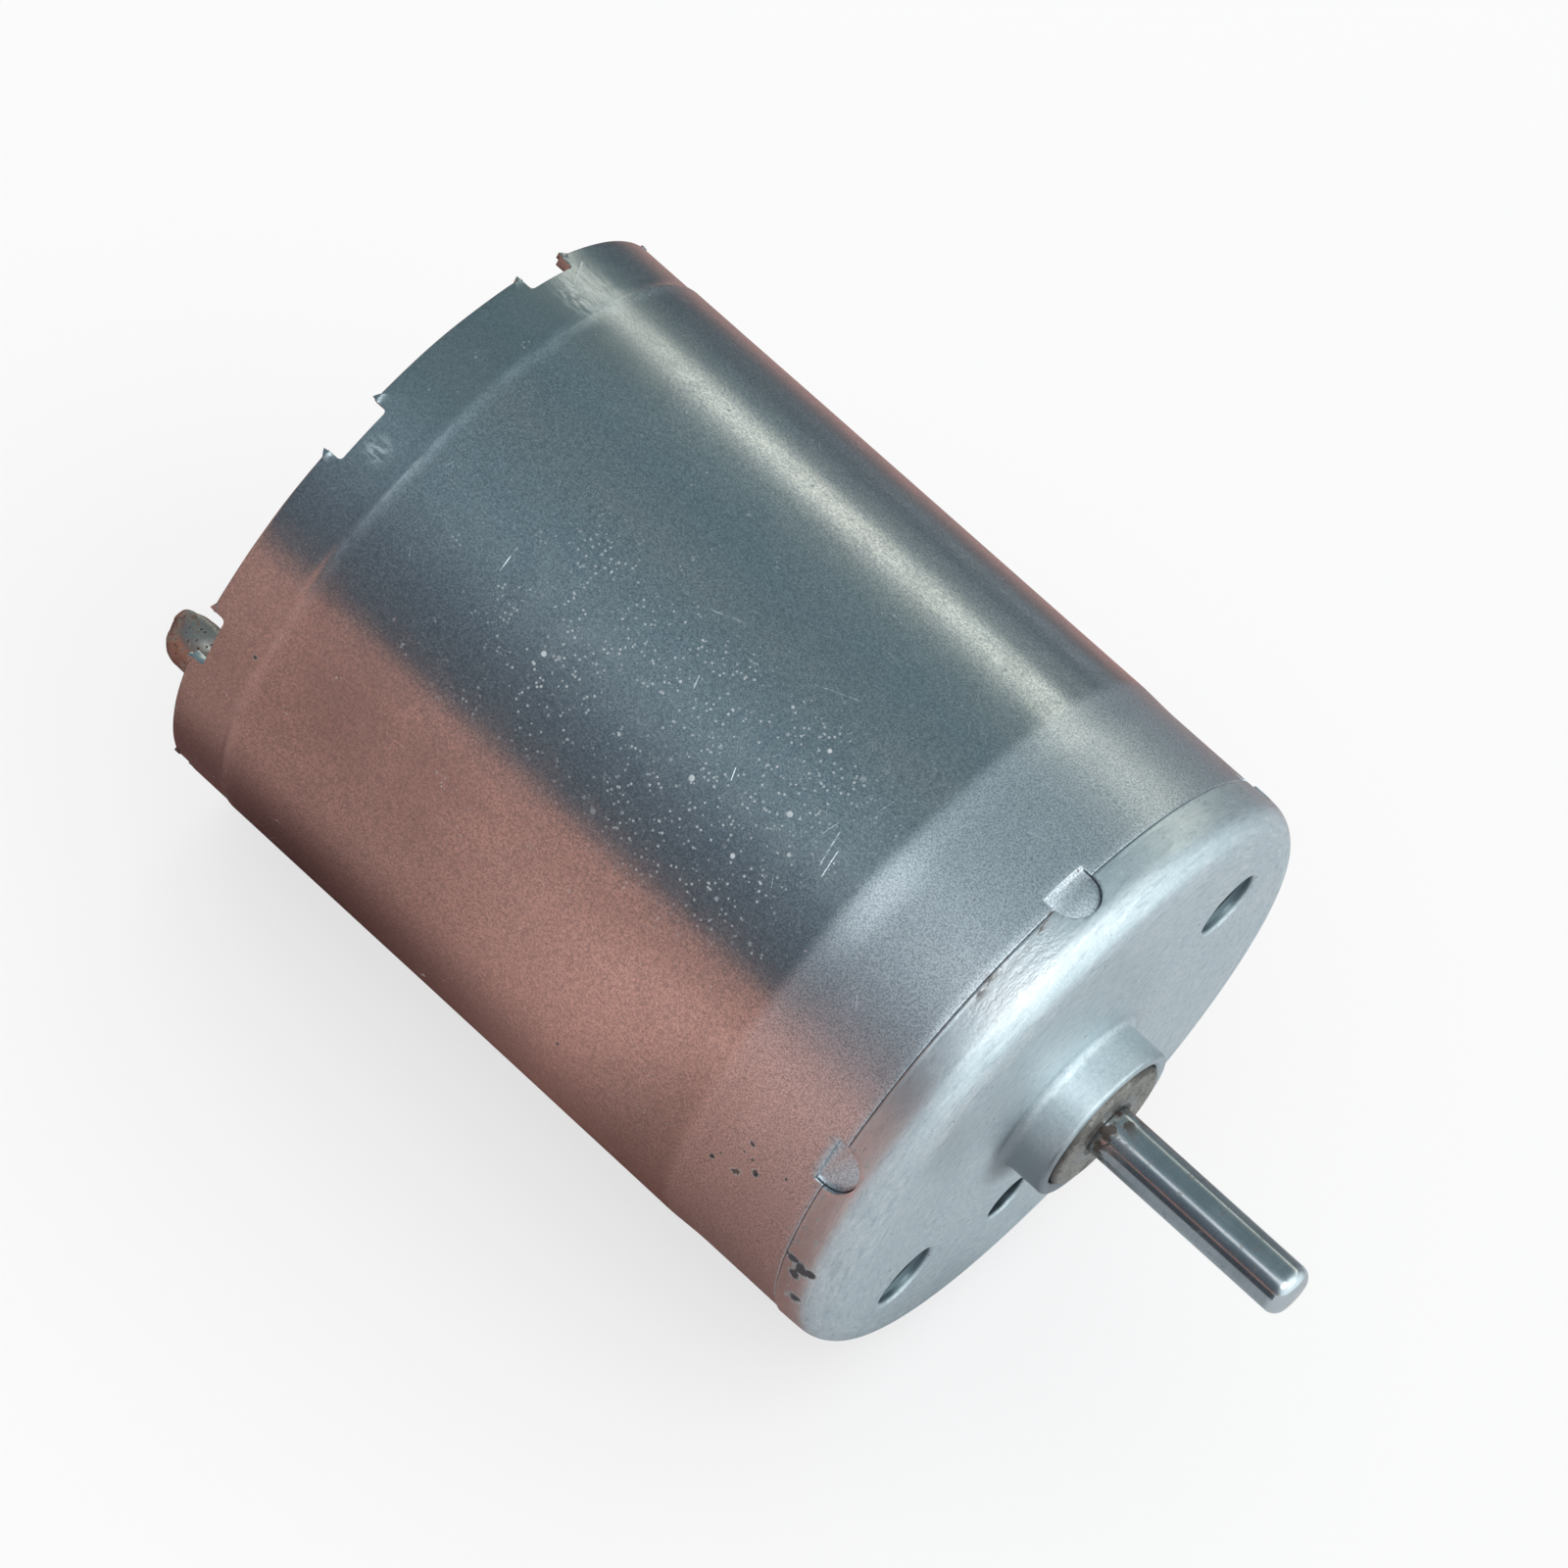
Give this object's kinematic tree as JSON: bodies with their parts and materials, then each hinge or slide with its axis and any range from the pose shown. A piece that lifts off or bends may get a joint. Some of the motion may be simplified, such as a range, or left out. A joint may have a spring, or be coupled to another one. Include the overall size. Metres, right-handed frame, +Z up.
{
  "type": "electric motor",
  "caption": "Small round brushed DC motor with a drawn steel can, a tapped front mounting face around a bearing boss, a plain output shaft and solder tabs at the rear.",
  "frame": {"origin": "centre of the flat free end of the output shaft, on the shaft axis; the front mounting face is 10.6 mm behind it, at x = -0.0106", "axes": "+X along the shaft, out of the front of the motor; +Z up with the motor lying on its side; the two mounting holes lie on the diagonal between +Y and +Z"},
  "size_m": [0.0444, 0.0244, 0.0244],
  "materials": {
    "can_steel": "satin plated steel with fine scratches and specks",
    "cap_steel": "pale satin plated steel",
    "sintered_bronze": "dull porous sintered bronze",
    "ground_steel": "ground and polished",
    "ferrite": "matte sintered ferrite",
    "spring_steel": "bright",
    "black_nylon": "moulded, matte",
    "white_nylon": "moulded, matte",
    "tinned_brass": "tinned",
    "solder": "dull solder with flux stain",
    "phosphor_bronze": "bright strip",
    "brush_carbon": "matte graphite",
    "damper_rubber": "matte",
    "lamination_steel": "stacked laminations",
    "insulator_fibre": "matte fibre",
    "magnet_wire": "enamelled copper wire",
    "commutator_copper": "turned copper",
    "varistor_ceramic": "matte ceramic",
    "washer_fibre": "matte laminated fibre",
    "spacer_brass": "turned brass"
  },
  "bodies": {
    "housing": {"can_tube": "can_steel", "front_cap": "cap_steel", "front_bearing": "sintered_bronze", "rear_bearing": "sintered_bronze", "magnet_a": "ferrite", "magnet_b": "ferrite", "magnet_clip_a": "spring_steel", "magnet_clip_b": "spring_steel", "end_bell": "black_nylon", "terminal_a": "tinned_brass", "terminal_b": "tinned_brass", "solder_a": "solder", "solder_b": "solder", "brush_arm_a": "phosphor_bronze", "brush_arm_b": "phosphor_bronze", "brush_a": "brush_carbon", "brush_b": "brush_carbon", "brush_damper_a": "damper_rubber", "brush_damper_b": "damper_rubber"},
    "rotor": {"shaft": "ground_steel", "armature_core": "lamination_steel", "insulator_front": "insulator_fibre", "insulator_rear": "insulator_fibre", "coil_1": "magnet_wire", "coil_2": "magnet_wire", "coil_3": "magnet_wire", "commutator_hub": "white_nylon", "commutator_segment_1": "commutator_copper", "commutator_segment_2": "commutator_copper", "commutator_segment_3": "commutator_copper", "varistor_ring": "varistor_ceramic", "front_thrust_washer": "washer_fibre", "rear_thrust_washer": "washer_fibre", "front_spacer": "spacer_brass"}
  },
  "joints": [
    {"name": "rotor_spin", "type": "hinge", "parent": "housing", "child": "rotor", "pos_m": [-0.0106, 0, 0], "axis": [1, 0, 0], "continuous": true}
  ]
}
